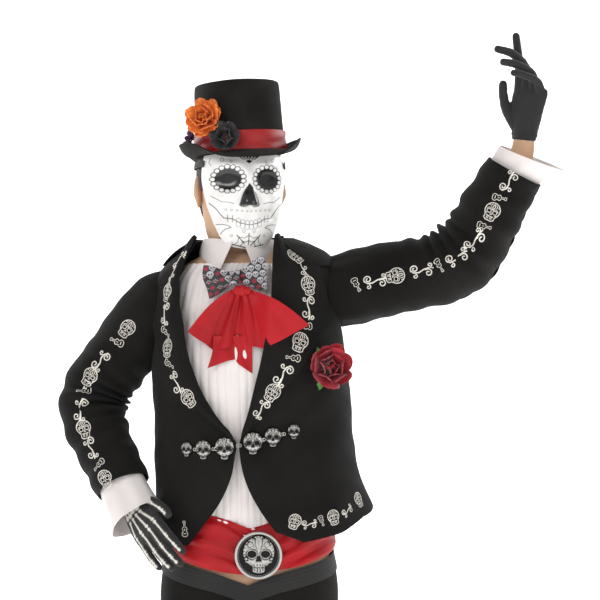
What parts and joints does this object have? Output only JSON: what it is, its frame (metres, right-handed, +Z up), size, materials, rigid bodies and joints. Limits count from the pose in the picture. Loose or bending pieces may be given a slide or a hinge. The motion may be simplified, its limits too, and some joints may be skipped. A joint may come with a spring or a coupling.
{
  "type": "catrin display half figure",
  "caption": "Life-size papier-mache catrin half figure in a charro jacket, skull mask and top hat; head, arms and hands turn and the hat lifts off.",
  "frame": {"origin": "underside of the base board, on the floor under the middle of the figure", "axes": "+Z up; the figure faces -Y; +X is towards its left hand"},
  "size_m": [0.9432, 0.2994, 1.0712],
  "materials": {
    "papier_mache": "layered paper, tan tempera, matt",
    "plywood": "bare sanded birch plywood",
    "cast_iron": "rough cast, painted dark grey",
    "steel": "bare turned steel",
    "black_twill": "fine black suiting twill",
    "trouser_cloth": "plain black trouser cloth",
    "black_felt": "stiffened black hat felt",
    "embroidery_thread": "off-white raised embroidery thread",
    "red_satin": "soft red satin",
    "ribbon_satin": "red satin ribbon",
    "white_cotton": "white cotton poplin",
    "waistband_knit": "black woven elastic",
    "mask_enamel": "white gloss enamel with painted black and grey motifs",
    "mask_elastic": "black elastic cord",
    "hair": "moulded and painted dark brown hair",
    "printed_satin": "black satin printed with pale skulls and dark red flecks",
    "rose_velvet": "red velvet petals with green sepals",
    "antique_silver": "cast antique silver, dark in the recesses",
    "marigold_petals": "orange cloth petals",
    "purple_petals": "purple cloth petals",
    "black_petals": "black cloth petals",
    "glove_knit": "black knit glove with printed white bones"
  },
  "bodies": {
    "torso": {"base_board": "plywood", "shoulder_beam": "plywood", "base_weight": "cast_iron", "post_flange": "steel", "spine_post": "steel", "shoulder_stud_right": "steel", "shoulder_stud_left": "steel", "torso_front_shell": "papier_mache", "torso_back_shell": "papier_mache", "trousers": "trouser_cloth", "waistband": "waistband_knit", "sash": "red_satin", "buckle_plate": "antique_silver", "buckle_skull": "antique_silver", "shirt_front": "white_cotton", "shirt_collar": "white_cotton", "jacket_front_right": "black_twill", "jacket_front_left": "black_twill", "jacket_back": "black_twill", "lapel_right": "black_twill", "lapel_left": "black_twill", "bow_wing_right": "printed_satin", "bow_wing_left": "printed_satin", "bow_knot": "printed_satin", "jabot_fan": "red_satin", "jabot_tail": "red_satin", "rose": "rose_velvet", "concho_right_small": "antique_silver", "concho_right_middle": "antique_silver", "concho_right_large": "antique_silver", "concho_left_large": "antique_silver", "concho_left_middle": "antique_silver", "concho_left_small": "antique_silver"},
    "head": {"head_shell": "papier_mache", "neck_block": "plywood", "hair": "hair", "mask": "mask_enamel", "mask_strap": "mask_elastic"},
    "hat": {"hat_crown": "black_felt", "hat_brim": "black_felt", "hat_ribbon": "ribbon_satin", "hat_marigold": "marigold_petals", "hat_purple_flower": "purple_petals", "hat_black_flower": "black_petals"},
    "right_upper_arm": {"upper_arm_right": "papier_mache", "sleeve_upper_right": "black_twill", "elbow_pin_right": "steel"},
    "right_forearm": {"forearm_right": "papier_mache", "sleeve_lower_right": "black_twill", "cuff_right": "white_cotton"},
    "right_hand": {"hand_core_right": "papier_mache", "glove_right": "glove_knit"},
    "left_upper_arm": {"upper_arm_left": "papier_mache", "sleeve_upper_left": "black_twill", "elbow_pin_left": "steel"},
    "left_forearm": {"forearm_left": "papier_mache", "sleeve_lower_left": "black_twill", "cuff_left": "white_cotton"},
    "left_hand": {"hand_core_left": "papier_mache", "glove_left": "glove_knit"}
  },
  "joints": [
    {"name": "neck_swivel", "type": "hinge", "parent": "torso", "child": "head", "pos_m": [-0.02, 0.008, 0.68], "axis": [0, 0, 1], "range_deg": [-40, 20]},
    {"name": "hat_lift", "type": "slide", "parent": "head", "child": "hat", "axis": [0, 0, 1], "range_m": [0, 0.15]},
    {"name": "right_shoulder", "type": "hinge", "parent": "torso", "child": "right_upper_arm", "pos_m": [-0.158, 0.002, 0.584], "axis": [1, 0, 0], "range_deg": [-40, 0], "deforming": ["sleeve_upper_right"]},
    {"name": "right_elbow", "type": "hinge", "parent": "right_upper_arm", "child": "right_forearm", "pos_m": [-0.316, 0.018, 0.386], "axis": [-0.379, -0.8963, 0.23], "range_deg": [-35, 0], "deforming": ["sleeve_lower_right"]},
    {"name": "right_wrist", "type": "hinge", "parent": "right_forearm", "child": "right_hand", "pos_m": [-0.226, -0.066, 0.207], "axis": [0.4143, -0.3867, -0.8239], "range_deg": [-15, 40]},
    {"name": "left_shoulder", "type": "hinge", "parent": "torso", "child": "left_upper_arm", "pos_m": [0.155, 0.002, 0.592], "axis": [1, 0, 0], "range_deg": [-20, 50], "deforming": ["sleeve_upper_left"]},
    {"name": "left_elbow", "type": "hinge", "parent": "left_upper_arm", "child": "left_forearm", "pos_m": [0.404, -0.022, 0.648], "axis": [-0.0596, -0.9858, -0.1572], "range_deg": [-30, 25], "deforming": ["sleeve_lower_left"]},
    {"name": "left_wrist", "type": "hinge", "parent": "left_forearm", "child": "left_hand", "pos_m": [0.51, -0.06, 0.846], "axis": [0.4654, -0.1668, 0.8693], "range_deg": [-60, 60]}
  ]
}
